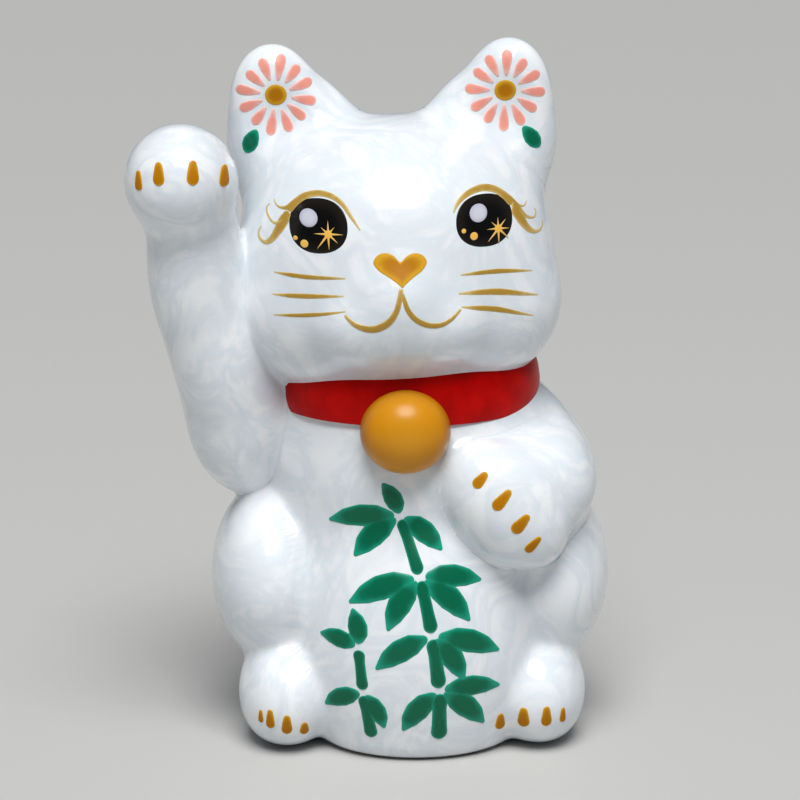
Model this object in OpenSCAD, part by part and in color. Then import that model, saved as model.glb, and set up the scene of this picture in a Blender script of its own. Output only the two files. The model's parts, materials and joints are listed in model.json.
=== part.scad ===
// Beckoning cat, a slip-cast porcelain coin bank. Millimetres.
// The cat looks along -Y, +X is its left, +Z is up, and the middle of its foot is at the origin.
// Each casting is a skin over a few blended ellipsoids; the enamels lie on those skins.

/* [Body] */
// Width over the haunches
body_w = 88; // [70:1:120]
// Depth from the belly to the back
body_d = 70; // [56:1:90]
// Height of the shoulders' casting, up to the dome inside the head
body_h = 94; // [75:1:120]
// Depth of the hollow under the foot
recess_h = 2.5; // [1.5:0.1:4]
// Diameter of the hollow under the foot
recess_d = 44; // [34:1:50]
// Thickness of the tail
tail_d = 14; // [10:0.5:18]

/* [Head] */
// Width over the cheeks
head_w = 69; // [55:1:85]
// Depth from the muzzle to the back of the head
head_d = 60; // [48:1:75]
// Height from the chin to the crown
head_h = 54; // [43:1:66]
// Height of the ears above the crown
ear_h = 16; // [12:1:22]
// How far the head sits towards the raised paw
head_shift = 2.6; // [0:0.1:5]
// Lean of the head towards the raised paw, in degrees
head_lean = 1.4; // [0:0.1:5]

/* [Shell] */
// Thickness of the cast walls
wall = 3.5; // [2.5:0.1:5]
// Diameter of the way between the body and the head
neck_bore_d = 24; // [16:1:30]
// Length of the coin slot
slot_w = 28; // [20:1:34]
// Width of the coin slot
slot_t = 3.6; // [2.5:0.1:3.9]
// Height of the coin slot above the foot
slot_z = 62; // [50:1:70]

/* [Stopper] */
// Diameter of the hole for the stopper
stopper_bore_d = 22; // [16:0.5:28]
// Clearance between the stopper and its hole, on the radius
stopper_fit = 0.1; // [0.05:0.05:0.4]
// How far the stopper's flange reaches past the hole, all round
flange_lip = 3; // [1.5:0.1:5]
// Thickness of the stopper's flange
flange_t = 1.6; // [1:0.1:2.2]
// How far the stopper goes in past the flange
plug_h = 8; // [5:0.5:14]
// How much narrower the stopper is at its inner end
plug_taper = 1.6; // [0.4:0.1:3]
// Thickness of the stopper's wall
plug_wall = 2.4; // [1.5:0.1:4]

/* [Collar and bell] */
// Height of the collar
collar_h = 11; // [6:0.5:14]
// How far the collar stands proud of the neck
collar_t = 1.6; // [0.8:0.1:2.5]
// Diameter of the bell
bell_d = 19; // [12:0.2:24]
// How far the bell bulges
bell_bulge = 8; // [5:0.5:11]

/* [Enamel] */
// Thickness of the fired enamels
enamel_t = 0.3; // [0.2:0.05:0.5]
// Width of each eye
eye_w = 12.2; // [9:0.1:14]
// Height of each eye
eye_h = 11.6; // [9:0.1:14]
// Distance between the middles of the eyes
eye_gap = 34; // [28:0.5:38]
// Diameter of the flower in each ear
flower_d = 17; // [12:0.5:19]
// Number of petals in each flower
petals = 12; // [8:1:14]
// Width of the stroke that draws the mouth
mouth_stroke = 1.1; // [0.7:0.1:1.6]

/* [Hidden] */

reach = 90;          // longer than any casting is wide
eps = 0.01;
body_s = [body_w/88, body_d/70, body_h/94];
head_s = [head_w/69, head_d/60, head_h/54];
ear_s = [head_s.x, head_s.y, ear_h/16];
neck_z = 80*body_s.z;
crown_z = 54*head_s.z;
stopper_at = [0, 3, 0];
floor_z = recess_h + wall;

// ---- blended ellipsoids: [middle, half axes, turn about Y in degrees] ----

function both(b) = [b, [[-b[0].x, b[0].y, b[0].z], b[1], -b[2]]];
function sized(blobs, s) = [for (b = blobs) [[b[0].x*s.x, b[0].y*s.y, b[0].z*s.z],
                                             [b[1].x*s.x, b[1].y*s.y, b[1].z*s.z], b[2]]];
function total(v) = v * [for (x = v) 1];
function blend(d, k) = let (m = min(d)) m - k*ln(total([for (x = d) exp(-(x - m)/k)]));
function turned(q, a) = a == 0 ? q : [q.x*cos(a) - q.z*sin(a), q.y, q.x*sin(a) + q.z*cos(a)];
function depth(p, b) =
    let (q = turned(p - b[0], b[2]), u = [q.x/b[1].x, q.y/b[1].y, q.z/b[1].z],
         k0 = norm(u), k1 = norm([u.x/b[1].x, u.y/b[1].y, u.z/b[1].z]))
    k1 < 1e-6 ? -min(b[1]) : k0*(k0 - 1)/k1;
function lump(p, blobs, k) = blend([for (b = blobs) depth(p, b)], k);

trunk = sized(
    [[[0, 5, 34], [34, 29, 38], 0], [[0, 6, 18], [35, 28, 26], 0], [[0, 0, 61], [29, 26, 27], 0],
     [[-1, -1, 80], [26, 23, 14], 0], [[23.5, 2, 62], [12.5, 14, 12], 0]], body_s);
apron = sized([[[1, -12, 22], [26, 21.5, 37], 0]], body_s);
haunches = sized(both([[30.3, -1, 34.5], [13, 22, 19.5], 0]), body_s);
feet = sized(both([[27, -13, 11], [10.5, 15, 12.5], 0]), body_s);
skull = sized(concat(
    [[[0, -2, 28], [32.5, 28, 26], 0], [[0, 3, 15], [27, 22, 18], 0], [[0, -10, 10], [20, 17, 11.5], 0],
     [[0, -28.5, 20], [5.5, 4.5, 4.5], 0]],
    both([[16.5, -5, 14.5], [18, 20, 16.5], 0]), both([[6.5, -25.5, 14], [9, 7, 6.5], 0])), head_s);
ear = [for (b = sized([[[20.8, 2, -6], [14, 8, 15], 0], [[25, 1, 4.5], [8.6, 6, 11], 0]], ear_s))
       [b[0] + [0, 0, crown_z], b[1], b[2]]];
ear_dish = [for (b = sized([[[24.5, -13, 2], [9.5, 9.5, 11.5], 0]], ear_s))
            [b[0] + [0, 0, crown_z], b[1], b[2]]];
beckoning = sized([[[-37, -3, 70], [10.8, 12, 16.5], 0], [[-41, -8, 87], [10.2, 11.5, 18], -8],
                   [[-45.6, -11, 105], [9.6, 10.5, 17], 0], [[-48, -17.5, 123], [11.5, 13, 11.5], 0]],
                  body_s);
resting = sized([[[29.5, -8, 58], [9.5, 12, 11.5], 0], [[24.5, -17, 57.5], [13, 11, 11], 0],
                 [[19, -25, 54.5], [15, 8.5, 10], 48]], body_s);

torso_form = function(p) blend([lump(p, trunk, 3), lump(p, apron, 1)], 1.4);
body_form = function(p) blend([torso_form(p), lump(p, haunches, 1), lump(p, feet, 1)], 1.2);
head_form = function(p) lump(p, skull, 3);
ear_form = function(p) -blend([-lump(p, ear, 2), lump(p, ear_dish, 1)], 1.5);
beckoning_form = function(p) lump(p, beckoning, 3);
resting_form = function(p) lump(p, resting, 2.5);

// ---- skins: the surface of a form, found along rays that fan out from a line inside it ----

function settle(form, from, way, level, a, fa, b, fb, n) =
    let (t = (a*fb - b*fa)/(fb - fa))
    n == 0 ? from + way*t :
    let (ft = form(from + way*t) - level)
    ft > 0 ? settle(form, from, way, level, a, fa*(n % 2 == 0 ? 1 : 0.5), t, ft, n - 1)
           : settle(form, from, way, level, t, ft, b, fb*(n % 2 == 0 ? 1 : 0.5), n - 1);
function leave(form, from, way, level, t, step) =
    let (ft = form(from + way*t) - level)
    ft > 0 ? settle(form, from, way, level, t - step, form(from + way*(t - step)) - level, t, ft, 5)
           : leave(form, from, way, level, t + max(1, -0.9*ft), max(1, -0.9*ft));
function skin_points(form, low, high, level, rings, sides) =
    let (axis = (high - low)/norm(high - low),
         across = cross(axis, [0, 1, 0])/norm(cross(axis, [0, 1, 0])), along = cross(axis, across))
    [for (i = [0:rings], j = [0:(i == 0 || i == rings ? 0 : sides - 1)])
        let (lift = -90 + 180*i/rings, turn = 360*j/sides,
             way = axis*sin(lift) + (across*cos(turn) + along*sin(turn))*cos(lift))
        leave(form, low + (high - low)*(1 + sin(lift))/2, way, level, 0, 1)];
function skin_faces(rings, sides) =
    let (first = 1, last = 1 + (rings - 2)*sides, top = last + sides)
    concat([for (j = [0:sides - 1]) [0, first + j, first + (j + 1) % sides]],
           [for (i = [0:rings - 3], j = [0:sides - 1], k = [0, 1])
               let (a = first + i*sides, b = a + sides, n = (j + 1) % sides)
               k == 0 ? [a + j, b + j, b + n] : [a + j, b + n, a + n]],
           [for (j = [0:sides - 1]) [last + j, top, last + (j + 1) % sides]]);
module skin(form, low, high, level, rings, sides)
    polyhedron(skin_points(form, low, high, level, rings, sides), skin_faces(rings, sides), convexity = 6);

// A size-keeping resize, so that the curved shapes below it are joined as one mesh
module freeform() resize([0, 0, 0]) children();

function at(s, p) = [p.x*s.x, p.y*s.y, p.z*s.z];
module body_skin(level = 0, rings = 30, sides = 56)
    skin(body_form, at(body_s, [0, 3, 20]), at(body_s, [0, 1, 72]), level, rings, sides);
module head_skin(level = 0, rings = 24, sides = 48)
    skin(head_form, at(head_s, [0, -4, 20]), at(head_s, [0, -3, 32]), level, rings, sides);
module ear_skin(side, level = 0)
    scale([side, 1, 1])
        skin(ear_form, at(ear_s, [20.8, 2, -8]) + [0, 0, crown_z], at(ear_s, [25, 1.5, 7]) + [0, 0, crown_z],
             level, 14, 20);
module beckoning_skin(level = 0, rings = 24, sides = 24)
    skin(beckoning_form, at(body_s, [-37, -4, 67]), at(body_s, [-48, -16.5, 122]), level, rings, sides);
module resting_skin(level = 0, rings = 14, sides = 26)
    skin(resting_form, at(body_s, [28, -9, 58.5]), at(body_s, [18.5, -25, 54.5]), level, rings, sides);

module on_neck() translate([-head_shift, 0, neck_z]) rotate([0, -head_lean, 0]) children();
module above(z) translate([-reach, -reach, z]) cube([2*reach, 2*reach, 3*reach]);
module body_outside(level = 0) intersection() { body_skin(level); above(0); }
module head_outside(level = 0)
    on_neck() { head_skin(level); ear_skin(1, level); ear_skin(-1, level); }

// ---- castings ----

module body_shell()
    color("ghostwhite") difference() {
        freeform() difference() {
            body_outside();
            intersection() { body_skin(-wall, 20, 40); above(floor_z); }
            translate([0, 0, neck_z - 2*wall]) cylinder(d = neck_bore_d, h = reach, $fn = 48);
            translate([-slot_w/2, 0, slot_z - slot_t/2]) cube([slot_w, reach, slot_t]);
        }
        translate(stopper_at - [0, 0, eps]) {
            cylinder(d = recess_d, h = recess_h + eps, $fn = 96);
            cylinder(d = stopper_bore_d, h = floor_z + 1, $fn = 96);
        }
    }

module head_shell()
    color("ghostwhite") freeform() difference() {
        head_outside();
        on_neck() head_skin(-wall, 14, 26);
        body_outside();
    }

module raised_arm()
    color("ghostwhite") freeform() difference() {
        beckoning_skin();
        beckoning_skin(-wall, 12, 12);
        body_outside();
        head_outside();
    }

module lowered_arm()
    color("ghostwhite") freeform() difference() {
        resting_skin();
        resting_skin(-wall, 8, 14);
        body_outside();
    }

function tail_mid(u) = at(body_s, [-8 + 34*u, 20 + 36*u - 30*u*u, 8.5 + 17*u*u]);
function tail_ring(u, n) =
    let (r = 0.01 + tail_d/2*sqrt(1 - pow(u, 5)), way = tail_mid(u + 0.01) - tail_mid(u - 0.01),
         axis = way/norm(way), across = cross(axis, [0, 1, 0])/norm(cross(axis, [0, 1, 0])),
         over = cross(across, axis))
    [for (j = [0:n - 1]) tail_mid(u) + r*(across*cos(360*j/n) + over*sin(360*j/n))];
module tail() {
    rings = 14;
    sides = 16;
    points = [for (i = [0:rings]) each tail_ring(sin(90*i/rings), sides)];
    faces = concat([[for (j = [0:sides - 1]) j]],
                   [for (i = [0:rings - 1], j = [0:sides - 1], k = [0, 1])
                       let (a = i*sides, b = a + sides, n = (j + 1) % sides)
                       k == 0 ? [a + j, b + n, b + j] : [a + j, a + n, b + n]],
                   [[for (j = [sides - 1:-1:0]) rings*sides + j]]);
    color("ghostwhite") freeform() difference() {
        intersection() { polyhedron(points, faces); above(0); }
        body_outside();
    }
}

collar_z = neck_z - 7.8;
module collar_band()
    intersection() {
        translate(at(body_s, [-0.6, -0.8, 77]))
            scale([27*body_s.x + collar_t, 24.2*body_s.y + collar_t, 20*body_s.z]) sphere(r = 1, $fn = 72);
        translate([-reach, -reach, collar_z]) cube([2*reach, 2*reach, collar_h]);
    }
module collar()
    color("firebrick") freeform() difference() {
        collar_band();
        body_skin();
        head_outside();
        beckoning_skin();
        resting_skin();
    }

bell_at = [-2, -27*body_s.y, neck_z - 8.5];
module bell()
    color("goldenrod") freeform() difference() {
        translate(bell_at) scale([1, bell_bulge/(bell_d/2), 0.93]) sphere(d = bell_d, $fn = 32);
        body_skin();
        collar_band();
        head_outside();
    }

module stopper()
    color("dimgray") translate(stopper_at) difference() {
        plug_d = stopper_bore_d - 2*stopper_fit;
        union() {
            translate([0, 0, recess_h - flange_t])
                cylinder(d = stopper_bore_d + 2*flange_lip, h = flange_t, $fn = 96);
            translate([0, 0, recess_h - eps])
                cylinder(d1 = plug_d, d2 = plug_d - plug_taper, h = plug_h, $fn = 96);
        }
        translate([0, 0, recess_h])
            cylinder(d = plug_d - plug_taper - 2*plug_wall, h = plug_h + 1, $fn = 64);
    }

// ---- enamels: flat outlines in X and Z, carried back along Y onto a skin ----

module carried(from = -5) translate([0, from, 0]) rotate([90, 0, 0]) linear_extrude(reach) children();
module head_enamel()
    on_neck() freeform() intersection() {
        carried() children();
        difference() { head_skin(enamel_t); head_skin(); }
    }
module ear_enamel()
    for (side = [-1, 1])
        on_neck() freeform() intersection() {
            carried(ear[0][0].y) scale([side, 1]) children();
            difference() { ear_skin(side, enamel_t); ear_skin(side); head_skin(); }
        }

module drop(from, to, d1, d2, sides = 12)
    hull() { translate(from) circle(d = d1, $fn = sides); translate(to) circle(d = d2, $fn = sides); }
module stroke(points, widths)
    for (i = [0:len(points) - 2]) drop(points[i], points[i + 1], widths[i], widths[i + 1]);

eye_at = at(head_s, [0, 0, 35.3]);
module per_eye()
    for (side = [-1, 1]) translate([side*eye_gap/2, eye_at.z]) children();
module eye_disc() scale([eye_w/2, eye_h/2]) circle(1, $fn = 32);
module highlight() translate([-0.17*eye_w, 0.13*eye_h]) circle(d = 0.28*eye_w, $fn = 16);
star_rays = 8;
module sparkle() {
    translate([0.2*eye_w, -0.22*eye_h])
        polygon([for (i = [0:2*star_rays - 1])
            let (r = i % 2 == 1 ? 0.055*eye_w : (i % 4 == 0 ? 0.23*eye_w : 0.16*eye_w))
            r*[cos(90 + 180*i/star_rays), sin(90 + 180*i/star_rays)]]);
    translate([-0.26*eye_w, -0.29*eye_h]) circle(d = 0.12*eye_w, $fn = 12);
    translate([-0.38*eye_w, -0.19*eye_h]) circle(d = 0.07*eye_w, $fn = 12);
}
module eyes() color("black") head_enamel() per_eye() difference() { eye_disc(); highlight(); sparkle(); }
module eye_highlights() color("lavender") head_enamel() per_eye() highlight();
module eye_sparkles() color("khaki") head_enamel() per_eye() sparkle();

lid_steps = 12;
function lid_point(a, grow) = [(eye_w/2 + grow)*cos(a), (eye_h/2 + grow)*sin(a)];
lid_from = 15;      // the lid starts low on the inner side of the eye
lid_to = 200;       // and ends past its outer corner
lash_roots = [150, 172, 194];
module eyelid() {
    angles = [for (i = [0:lid_steps]) lid_from + (lid_to - lid_from)*i/lid_steps];
    difference() {
        stroke([for (a = angles) lid_point(a, 0.5)],
               [for (i = [0:lid_steps]) 0.5 + 1.1*sin(180*min(1, 0.15 + i/lid_steps))]);
        eye_disc();
    }
    for (a = lash_roots) {
        root = lid_point(a, 0.6);
        stroke([for (i = [0:4]) root + 2.2*[-sin(22*i) - 0.3*i/4, 0.55*i/4 + (1 - cos(22*i))*0.7]],
               [1.1, 0.9, 0.7, 0.55, 0.4]);
    }
}
module eyelids() color("goldenrod") head_enamel()
    for (side = [-1, 1]) translate([side*eye_gap/2, eye_at.z]) scale([-side, 1]) eyelid();

nose_w = 10.8;
nose_h = 6;
nose_at = at(head_s, [0, 0, 26]);
module nose_heart() translate([0, nose_at.z])
    for (side = [-1, 1]) drop([side*0.26*nose_w, 0.23*nose_h], [0, -0.4*nose_h], 0.46*nose_w, 0.2*nose_h, 20);
module nose() color("darkgoldenrod") head_enamel() nose_heart();

lip_r = 5.7;
lip_at = at(head_s, [0, 0, 20.4]);
module mouth() color("darkgoldenrod") head_enamel() difference() {
    union() {
        for (side = [-1, 1])
            stroke([for (i = [0:10]) [side*lip_r*(1 - cos(17*i)), lip_at.z - lip_r*0.95*sin(17*i)]],
                   [for (i = [0:10]) mouth_stroke*(0.7 + 0.6*sin(18*i))]);
        stroke([[0, nose_at.z - 0.5*nose_h], [0, lip_at.z]], [mouth_stroke, mouth_stroke]);
    }
    nose_heart();
}

whisker_lines = [[[12, 24.2], [26, 24]], [[12.2, 20.8], [26.7, 19.5]], [[12, 18.4], [26.1, 15.3]]];
module whiskers() color("goldenrod") head_enamel()
    for (side = [-1, 1], w = whisker_lines)
        drop([side*w[0].x*head_s.x, w[0].y*head_s.z], [side*w[1].x*head_s.x, w[1].y*head_s.z], 1.2, 0.4);

flower_at = at(ear_s, [24, 0, 5.1]) + [0, 0, crown_z];
leaf_at = at(ear_s, [29.3, 0, -4.3]) + [0, 0, crown_z];
module ear_petals() color("salmon") ear_enamel() translate([flower_at.x, flower_at.z])
    for (i = [0:petals - 1]) rotate(360*(i + 0.5)/petals)
        drop([0.27*flower_d, 0], [0.43*flower_d, 0], 1, 1.9, 10);
module ear_flower_centres() color("goldenrod") ear_enamel() translate([flower_at.x, flower_at.z])
    circle(d = 3.8, $fn = 20);
module ear_leaves() color("seagreen") ear_enamel() translate([leaf_at.x, leaf_at.z])
    rotate(-30) drop([0, 0.9], [0, -0.9], 2.6, 1.6);

function on_front(p) = [p.x*body_s.x, p.y*body_s.z];
module claw(p, lean, long, wide) translate(on_front(p)) rotate(lean)
    drop([0, (long - wide)/2], [0, -(long - 0.7*wide)/2], 0.7*wide, wide);
raised_claw_at = [[-55.7, 124.2], [-51.9, 125.7], [-44.8, 125.9], [-38.9, 124.8]];
module raised_claws() color("goldenrod") freeform() intersection() {
    carried(beckoning[3][0].y) for (i = [0:3])
        claw(raised_claw_at[i], 0, 4.4, i == 0 || i == 3 ? 1.7 : 2.3);
    difference() { beckoning_skin(enamel_t); beckoning_skin(); head_outside(); }
}
lowered_claw_at = [[13.4, 62], [17.7, 58.2], [21.5, 53.2], [24.3, 48.4]];
module lowered_claws() color("goldenrod") freeform() intersection() {
    carried(resting[2][0].y) for (c = lowered_claw_at) claw(c, -42, 4.8, 2.3);
    difference() { resting_skin(enamel_t); resting_skin(); }
}
module foot_claws(places) freeform() intersection() {
    carried() for (c = places) claw(c, 0, 3.6, 1.9);
    difference() { body_skin(enamel_t); body_skin(); }
}
module left_foot_claws() color("goldenrod") foot_claws([[-32, 9], [-29.8, 9.2], [-26.4, 8.6], [-23, 7.6]]);
module right_foot_claws() color("goldenrod") foot_claws([[18.4, 8.6], [23.4, 9.4], [28.6, 9.5], [31.6, 9.7]]);

// ---- the spray on the belly: stems as [width, joints], leaves as [foot, lean, length, width] ----

stems = [[3.8, [[5, 5], [5, 17], [3.5, 29], [1, 41], [-3, 53]]], [3, [[-9, 5], [-11, 16], [-12, 26]]]];
leaves = [[[5, 17], 140, 12, 5], [[5, 17], -132, 13, 5], [[5, 17], -92, 13, 4.6],
          [[3.5, 29], 122, 14, 5], [[3.5, 29], -146, 12, 4.8], [[3.5, 29], -108, 15, 5],
          [[1, 41], 112, 16, 5], [[1, 41], 148, 13, 5], [[1, 41], -132, 14, 5], [[1, 41], -96, 13, 4.6],
          [[-3, 53], 98, 15, 4.8], [[-3, 53], 132, 13, 4.8], [[-3, 53], -128, 11, 4.6],
          [[-3, 53], 28, 8, 4], [[-11, 16], 118, 9, 4.2], [[-11, 16], -150, 9, 4],
          [[-12, 26], 80, 8, 4], [[-12, 26], 8, 8, 4.2]];
module leaf(l) translate(on_front(l[0])) rotate(l[1])
    stroke([[0, 1.2], [0, 0.4*l[2]], [0, 0.7*l[2]], [0, l[2]]], [1.4, l[3], 0.8*l[3], 0.6]);
module belly_spray() color("seagreen") freeform() intersection() {
    carried() {
        for (s = stems, i = [1:len(s[1]) - 1])
            drop(on_front(s[1][i - 1]) + [0, 0.8], on_front(s[1][i]) - [0, 0.8],
                 s[0] - 0.3*i, s[0] - 0.3*i - 0.2);
        for (l = leaves) leaf(l);
    }
    difference() { body_skin(enamel_t); body_skin(); resting_skin(); }
}

body_shell();
head_shell();
raised_arm();
lowered_arm();
tail();
collar();
bell();
stopper();
eyes();
eye_highlights();
eye_sparkles();
eyelids();
nose();
mouth();
whiskers();
ear_petals();
ear_flower_centres();
ear_leaves();
raised_claws();
lowered_claws();
left_foot_claws();
right_foot_claws();
belly_spray();
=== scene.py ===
# %% [markdown]
# # A beckoning cat in glazed porcelain
# The real cat is a slip-cast coin bank about 150 mm tall. Several hollow castings are stuck together
# with slip, dipped in a white crystal glaze, and painted with enamels and a little gold lustre.
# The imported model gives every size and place, so it is loaded first and is never moved.

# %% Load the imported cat
import json
import math

import bpy
import numpy as np
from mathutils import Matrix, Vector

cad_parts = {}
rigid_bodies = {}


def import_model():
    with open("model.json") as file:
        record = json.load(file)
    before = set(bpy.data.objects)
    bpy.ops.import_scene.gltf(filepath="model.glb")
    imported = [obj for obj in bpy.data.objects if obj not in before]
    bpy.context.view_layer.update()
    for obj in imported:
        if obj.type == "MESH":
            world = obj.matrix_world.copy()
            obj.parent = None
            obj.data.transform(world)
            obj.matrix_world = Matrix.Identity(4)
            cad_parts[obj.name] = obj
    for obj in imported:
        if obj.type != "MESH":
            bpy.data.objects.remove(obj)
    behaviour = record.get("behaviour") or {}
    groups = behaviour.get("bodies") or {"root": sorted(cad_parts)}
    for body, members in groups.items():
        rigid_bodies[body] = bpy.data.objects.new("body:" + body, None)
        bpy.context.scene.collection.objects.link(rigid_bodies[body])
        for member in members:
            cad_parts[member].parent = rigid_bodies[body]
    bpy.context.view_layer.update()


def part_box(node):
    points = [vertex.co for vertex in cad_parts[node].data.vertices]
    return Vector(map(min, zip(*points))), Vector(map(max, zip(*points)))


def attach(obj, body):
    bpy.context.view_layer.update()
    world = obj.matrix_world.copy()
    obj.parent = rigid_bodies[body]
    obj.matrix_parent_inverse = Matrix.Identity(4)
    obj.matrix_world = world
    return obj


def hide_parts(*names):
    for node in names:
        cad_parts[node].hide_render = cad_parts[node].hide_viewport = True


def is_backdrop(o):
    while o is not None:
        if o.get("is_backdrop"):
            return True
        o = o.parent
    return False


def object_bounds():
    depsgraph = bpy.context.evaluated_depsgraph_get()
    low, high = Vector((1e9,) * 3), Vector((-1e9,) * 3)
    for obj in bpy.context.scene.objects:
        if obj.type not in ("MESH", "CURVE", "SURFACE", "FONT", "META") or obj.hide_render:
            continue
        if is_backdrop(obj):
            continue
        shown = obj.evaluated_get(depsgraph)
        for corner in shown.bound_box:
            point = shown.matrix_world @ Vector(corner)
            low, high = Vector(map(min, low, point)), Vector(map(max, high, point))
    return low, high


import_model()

# %% [markdown]
# Blender works in metres and the cat is drawn in millimetres, so every shape is worked out in
# millimetres and made smaller as it goes into its mesh. The size of the body casting in the frame,
# against the size that its forms below were drawn at, says how much to stretch the forms.

# %% Sizes from the frame
MM = 0.001


def box_mm(node):
    """Lowest and highest corner of a node, in millimetres."""
    low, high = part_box(node)
    return np.array(low) / MM, np.array(high) / MM


def stretch_of(node, drawn):
    """How much larger a node is than its drawn size, on each axis, to the nearest hundredth."""
    low, high = box_mm(node)
    return np.round((high - low) / drawn, 2)


drawn_body = (86.2, 68.8, 93.0)
body_fit = stretch_of("body_shell", drawn_body)
wall = 3.5
neck = np.array([-2.6, 0, 80 * body_fit[2]])
head_lean = math.radians(1.4)
print("body stretch:", body_fit, "neck:", neck)

# %% [markdown]
# ## Forms
# A caster carves the model cat in plaster or clay, as soft lumps that run into each other. One lump
# here is an ellipsoid, given as its middle, its half axes and its turn about the Y axis. A form is
# a function that is below zero inside the clay and above zero outside it. Subdivided box modelling
# or sculpting could give the same cat, but a formula keeps each fillet exactly where it is wanted,
# and it also says where the surface is, which the painted decoration needs later.

# %% One lump, and how lumps run together
def depth(points, lump):
    """Rough distance to an ellipsoid. With q the point measured in half axes, this is the length
    of q, times that length less one, over the length of q measured in half axes once more."""
    middle, half_axes, turn = lump
    q = points - np.array(middle, float)
    if turn:
        c, s = math.cos(math.radians(turn)), math.sin(math.radians(turn))
        q = np.stack([q[..., 0] * c - q[..., 2] * s, q[..., 1], q[..., 0] * s + q[..., 2] * c], -1)
    q = q / np.array(half_axes, float)
    reach = np.sqrt((q * q).sum(-1))
    q = q / np.array(half_axes, float)
    slope = np.sqrt((q * q).sum(-1))
    return reach * (reach - 1) / np.maximum(slope, 1e-9)


def blend(forms, softness):
    """Smooth union: the lowest form, less softness times the log of the sum of e to the power of
    how far each form is above the lowest, in softnesses."""
    low = np.minimum.reduce(forms)
    total = sum(np.exp((low - f) / softness) for f in forms)
    return low - softness * np.log(total)


def clay(points, lumps, softness):
    """One form made of many lumps."""
    return blend([depth(points, lump) for lump in lumps], softness)


def both(lump):
    """A lump and its mirror image on the other side of the cat."""
    (x, y, z), half_axes, turn = lump
    return [lump, ((-x, y, z), half_axes, -turn)]


def stretched(lumps, fit):
    """The same lumps, stretched with the casting they belong to."""
    return [(np.array(m) * fit, np.array(r) * fit, t) for m, r, t in lumps]


def once_round(count):
    """Evenly spaced angles, once round."""
    return np.arange(count) * 2 * math.pi / count


# %% [markdown]
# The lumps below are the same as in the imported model. The trunk is a tall egg, and the apron is a
# second egg set softly into its front. The haunches and the feet meet them in tight creases, which
# is what makes the seated cat readable. The head leans a little towards the raised paw.

# %% The lumps of each casting
trunk = stretched([((0, 5, 34), (34, 29, 38), 0), ((0, 6, 18), (35, 28, 26), 0),
                   ((0, 0, 61), (29, 26, 27), 0), ((-1, -1, 80), (26, 23, 14), 0),
                   ((23.5, 2, 62), (12.5, 14, 12), 0)], body_fit)
apron = stretched([((1, -12, 22), (26, 21.5, 37), 0)], body_fit)
haunches = stretched(both(((30.3, -1, 34.5), (13, 22, 19.5), 0)), body_fit)
feet = stretched(both(((27, -13, 11), (10.5, 15, 12.5), 0)), body_fit)
skull = [((0, -2, 28), (32.5, 28, 26), 0), ((0, 3, 15), (27, 22, 18), 0),
         ((0, -10, 10), (20, 17, 11.5), 0), ((0, -28.5, 20), (5.5, 4.5, 4.5), 0)]
skull += both(((16.5, -5, 14.5), (18, 20, 16.5), 0)) + both(((6.5, -25.5, 14), (9, 7, 6.5), 0))
ear = [((20.8, 2, 48), (14, 8, 15), 0), ((25, 1, 58.5), (8.6, 6, 11), 0)]
ear_dish = [((24.5, -13, 56), (9.5, 9.5, 11.5), 0)]
beckoning = stretched([((-37, -3, 70), (10.8, 12, 16.5), 0), ((-41, -8, 87), (10.2, 11.5, 18), -8),
                       ((-45.6, -11, 105), (9.6, 10.5, 17), 0),
                       ((-48, -17.5, 123), (11.5, 13, 11.5), 0)], body_fit)
resting = stretched([((29.5, -8, 58), (9.5, 12, 11.5), 0), ((24.5, -17, 57.5), (13, 11, 11), 0),
                     ((19, -25, 54.5), (15, 8.5, 10), 48)], body_fit)
print("lumps in the body:", len(trunk + apron + haunches + feet), "in the skull:", len(skull))


# %% From the table to the leaning head, and back
def into_head(points):
    """Points in the head's own upright frame: moved down to the neck, then turned back upright."""
    q = points - neck
    c, s = math.cos(head_lean), math.sin(head_lean)
    return np.stack([q[..., 0] * c + q[..., 2] * s, q[..., 1], q[..., 2] * c - q[..., 0] * s], -1)


def out_of_head(points):
    """The other way: leaned towards the raised paw, then lifted on to the neck."""
    q = np.asarray(points, float)
    c, s = math.cos(head_lean), math.sin(head_lean)
    turned = np.stack([q[..., 0] * c - q[..., 2] * s, q[..., 1], q[..., 2] * c + q[..., 0] * s], -1)
    return turned + neck


# %% The form of each casting
def tail_line(u):
    """Middle of the tail: it leaves the back low down, swings out and lifts at its tip."""
    return np.stack([-8 + 34 * u, 20 + 36 * u - 30 * u ** 2, 8.5 + 17 * u ** 2], -1) * body_fit


tail_steps = np.linspace(0, 0.93, 14)
tail_beads = [(middle, (r, r, r), 0) for middle, r in
              zip(tail_line(tail_steps), 5.2 * np.sqrt(1 - 0.75 * tail_steps ** 5))]


def body_form(p):
    torso = blend([clay(p, trunk, 3), clay(p, apron, 1)], 1.4)
    return blend([torso, clay(p, haunches, 1), clay(p, feet, 1)], 1.2)


def skull_form(p):
    return clay(into_head(p), skull, 3)


def ear_form(p, side):
    q = into_head(p) * np.array([side, 1, 1])
    return -blend([-clay(q, ear, 2), clay(q, ear_dish, 1)], 1.5)


def torso_forms(p):
    """The forms of the castings below the neck, by name."""
    return {"body": body_form(p), "beckoning": clay(p, beckoning, 3),
            "resting": clay(p, resting, 2.5), "tail": clay(p, tail_beads, 2)}


# %% [markdown]
# ## Joints filled with slip
# Where two castings meet, the maker wipes the joint with wet slip, and the glaze rounds it more.
# Each casting stays a piece of its own here, but near a joint its skin swells into half of the
# fillet. On its own side of the joint a skin follows the smooth union of both forms exactly, and
# past the joint it dives inside its neighbour, so the two skins meet in one line without a step.
# Below the neck the fillets are wide. Round the head they are tight, so that the chin keeps a
# clear edge above the collar.

# %% Half a fillet for each piece
ear_fillet = 2.5
slip_fillet = 2.0
neck_fillet = 0.7


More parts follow.
